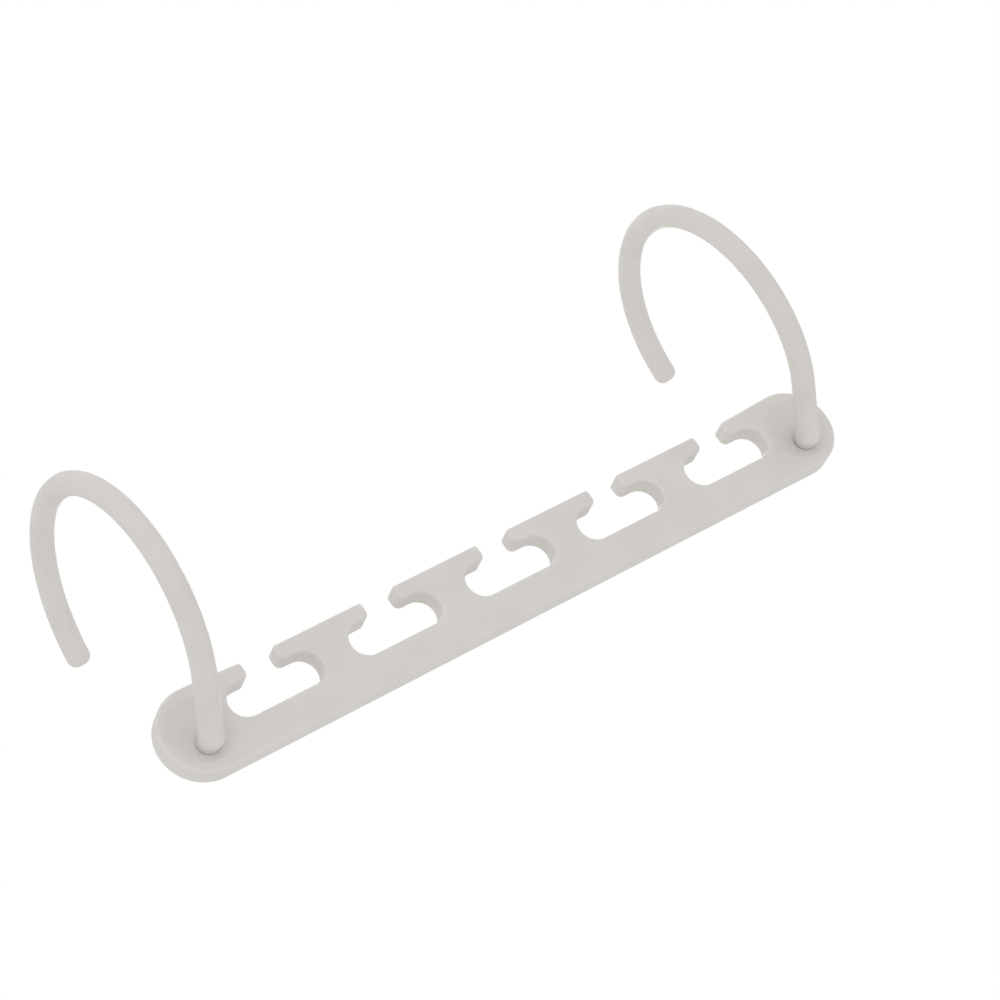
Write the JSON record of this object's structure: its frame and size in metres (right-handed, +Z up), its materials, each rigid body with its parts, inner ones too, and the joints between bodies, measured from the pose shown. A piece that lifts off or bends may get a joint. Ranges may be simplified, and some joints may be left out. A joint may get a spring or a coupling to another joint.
{
  "type": "multi-hole hanger",
  "caption": "Slim plastic bar with a row of T-shaped slots open at the top and a swivelling open ring hook snapped into each rounded end.",
  "frame": {"origin": "on the wardrobe rail that carries the hanger: midway between the two hooks, under the tops of their rings", "axes": "+X along the bar, towards the right hook; the bar's front, which the hooks' shanks stand on, looks along -Y; +Z up"},
  "size_m": [0.23, 0.0809, 0.0912],
  "materials": {
    "bar_plastic": "satin off-white",
    "left_hook_plastic": "satin off-white",
    "right_hook_plastic": "satin off-white"
  },
  "bodies": {
    "bar": {"bar": "bar_plastic"},
    "left_hook": {"left_hook": "left_hook_plastic"},
    "right_hook": {"right_hook": "right_hook_plastic"}
  },
  "joints": [
    {"name": "left_hook_swivel", "type": "hinge", "parent": "bar", "child": "left_hook", "pos_m": [-0.10355, 0.0028, -0.0758], "axis": [0, 1, 0], "range_deg": [-255.6, 74.4]},
    {"name": "right_hook_swivel", "type": "hinge", "parent": "bar", "child": "right_hook", "pos_m": [0.10355, 0.0028, -0.0758], "axis": [0, 1, 0], "range_deg": [-70.7, 259.3]}
  ]
}
